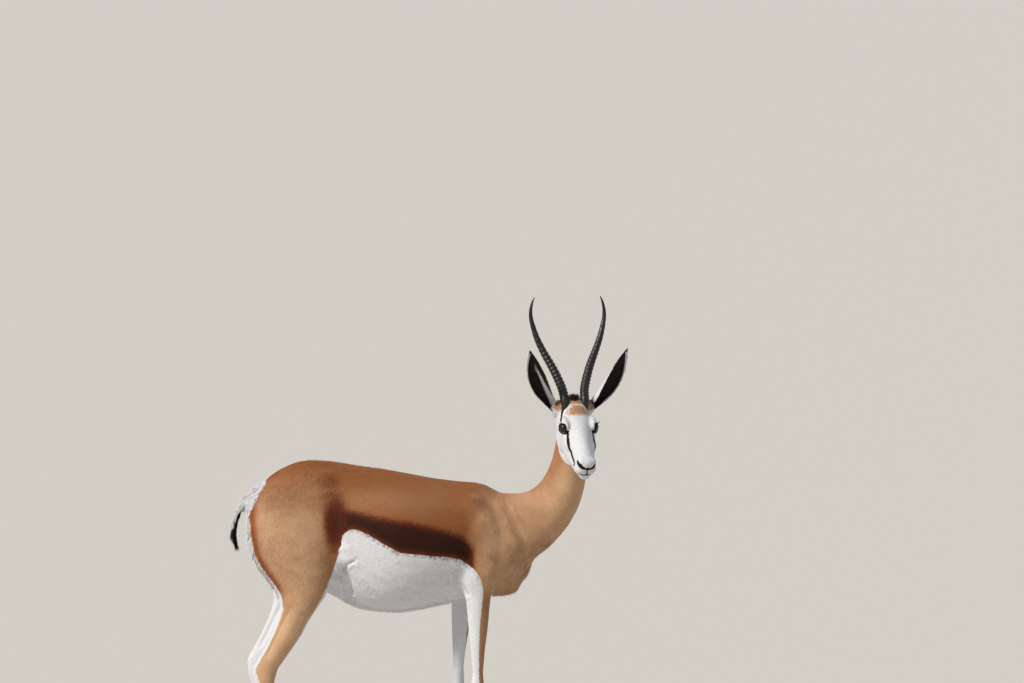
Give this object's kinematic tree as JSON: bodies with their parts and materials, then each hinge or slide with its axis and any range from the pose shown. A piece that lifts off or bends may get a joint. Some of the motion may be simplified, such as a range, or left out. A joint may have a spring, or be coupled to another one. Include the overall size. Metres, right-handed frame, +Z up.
{
  "type": "springbok",
  "caption": "Life-size still model of a standing springbok ewe, head turned to her right, with ringed horns, pricked ears and cloven hooves.",
  "frame": {"origin": "on the floor, under the middle of the animal's outline seen from above", "axes": "+X from the tail towards the breast, +Y towards the animal's left side, +Z up"},
  "size_m": [0.9766, 0.3776, 1.1979],
  "materials": {
    "fawn_coat": "short cinnamon hair",
    "white_coat": "short white hair",
    "ear_skin": "thinly haired skin",
    "eye": "wet dark eye",
    "horn": "ringed black horn",
    "hoof": "dull black horn"
  },
  "bodies": {
    "root": {"ear_left": "ear_skin", "ear_right": "ear_skin", "eye_left": "eye", "eye_right": "eye", "foreleg_left": "white_coat", "foreleg_right": "white_coat", "head": "white_coat", "hindleg_left": "fawn_coat", "hindleg_right": "fawn_coat", "hoof_fore_left_inner": "hoof", "hoof_fore_left_outer": "hoof", "hoof_fore_right_inner": "hoof", "hoof_fore_right_outer": "hoof", "hoof_hind_left_inner": "hoof", "hoof_hind_left_outer": "hoof", "hoof_hind_right_inner": "hoof", "hoof_hind_right_outer": "hoof", "horn_left": "horn", "horn_right": "horn", "neck": "fawn_coat", "tail": "white_coat", "trunk": "fawn_coat"}
  },
  "joints": []
}
